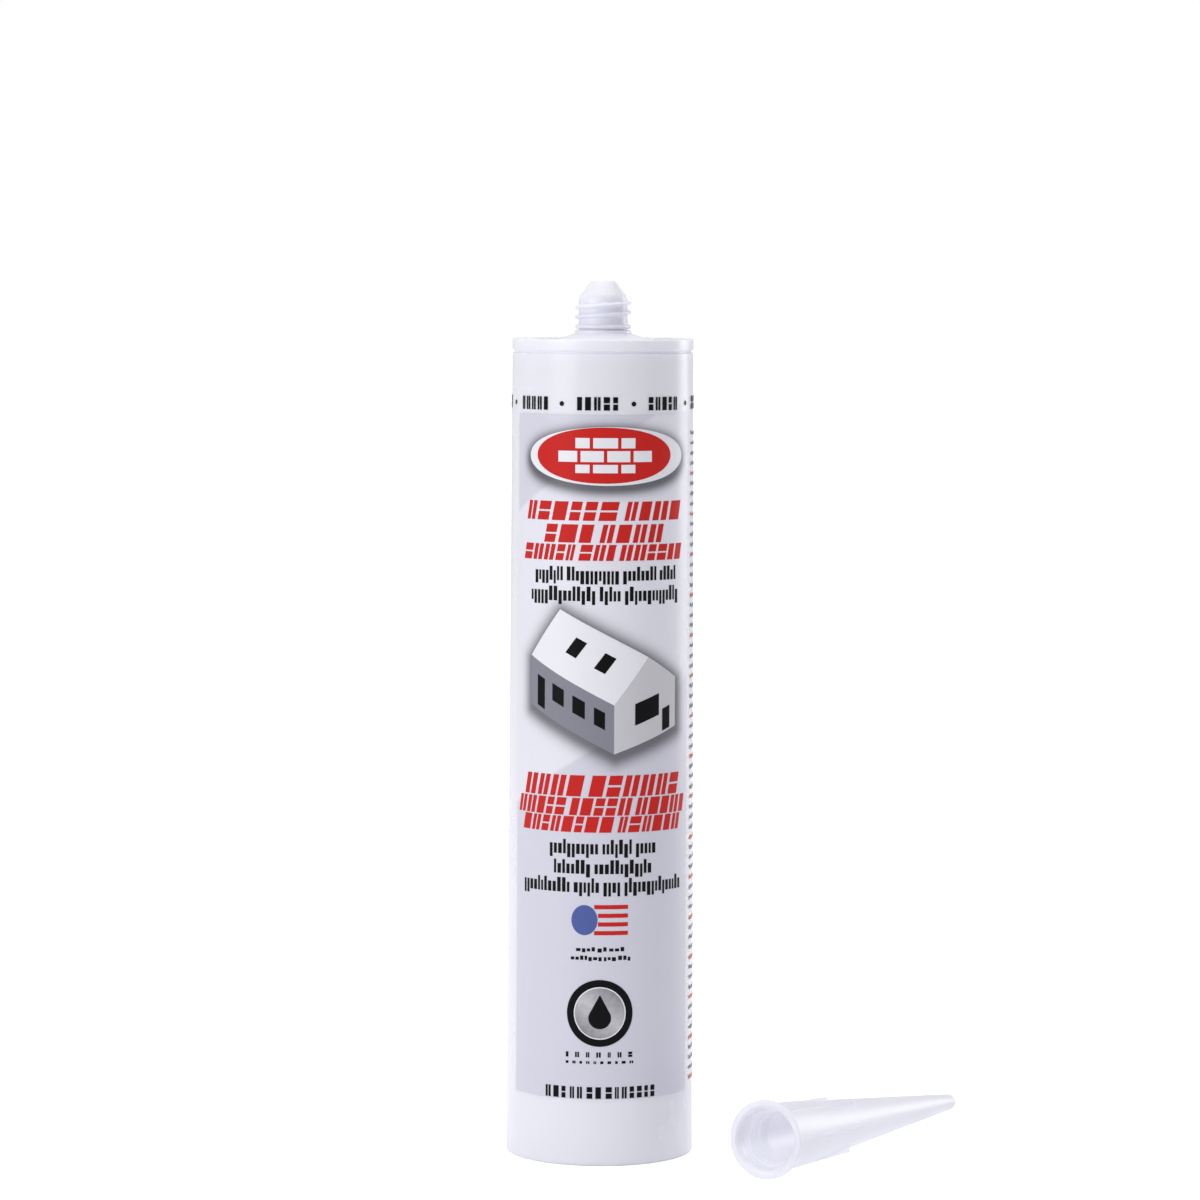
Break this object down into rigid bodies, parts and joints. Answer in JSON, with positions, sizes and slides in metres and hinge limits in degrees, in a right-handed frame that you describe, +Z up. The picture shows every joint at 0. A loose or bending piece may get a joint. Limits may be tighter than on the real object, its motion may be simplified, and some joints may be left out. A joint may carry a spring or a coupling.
{
  "type": "caulk tube",
  "caption": "Standing caulk tube: open-ended plastic barrel with a sliding follower piston, printed wall and threaded closed neck, its finned cone nozzle lying beside it.",
  "frame": {"origin": "middle of the barrel's open rear end, on the plane it stands on", "axes": "+Z up the barrel's axis to the neck, -Y to the printed front, +X to the side where the nozzle lies"},
  "size_m": [0.1259, 0.1038, 0.2338],
  "materials": {
    "barrel_plastic": "satin",
    "piston_plastic": "satin",
    "sealant": "matte",
    "nozzle_plastic": "satin",
    "grey_ink": "satin",
    "red_ink": "satin",
    "black_ink": "satin"
  },
  "bodies": {
    "barrel": {"barrel": "barrel_plastic", "sealant": "sealant", "nozzle": "nozzle_plastic", "print_panel": "grey_ink", "print_oval": "red_ink", "print_headings": "red_ink", "print_text": "black_ink", "print_band": "black_ink"},
    "piston": {"piston": "piston_plastic"}
  },
  "joints": [
    {"name": "piston_slide", "type": "slide", "parent": "barrel", "child": "piston", "axis": [0, 0, 1], "range_m": [0, 0.173], "deforming": ["sealant"]}
  ]
}
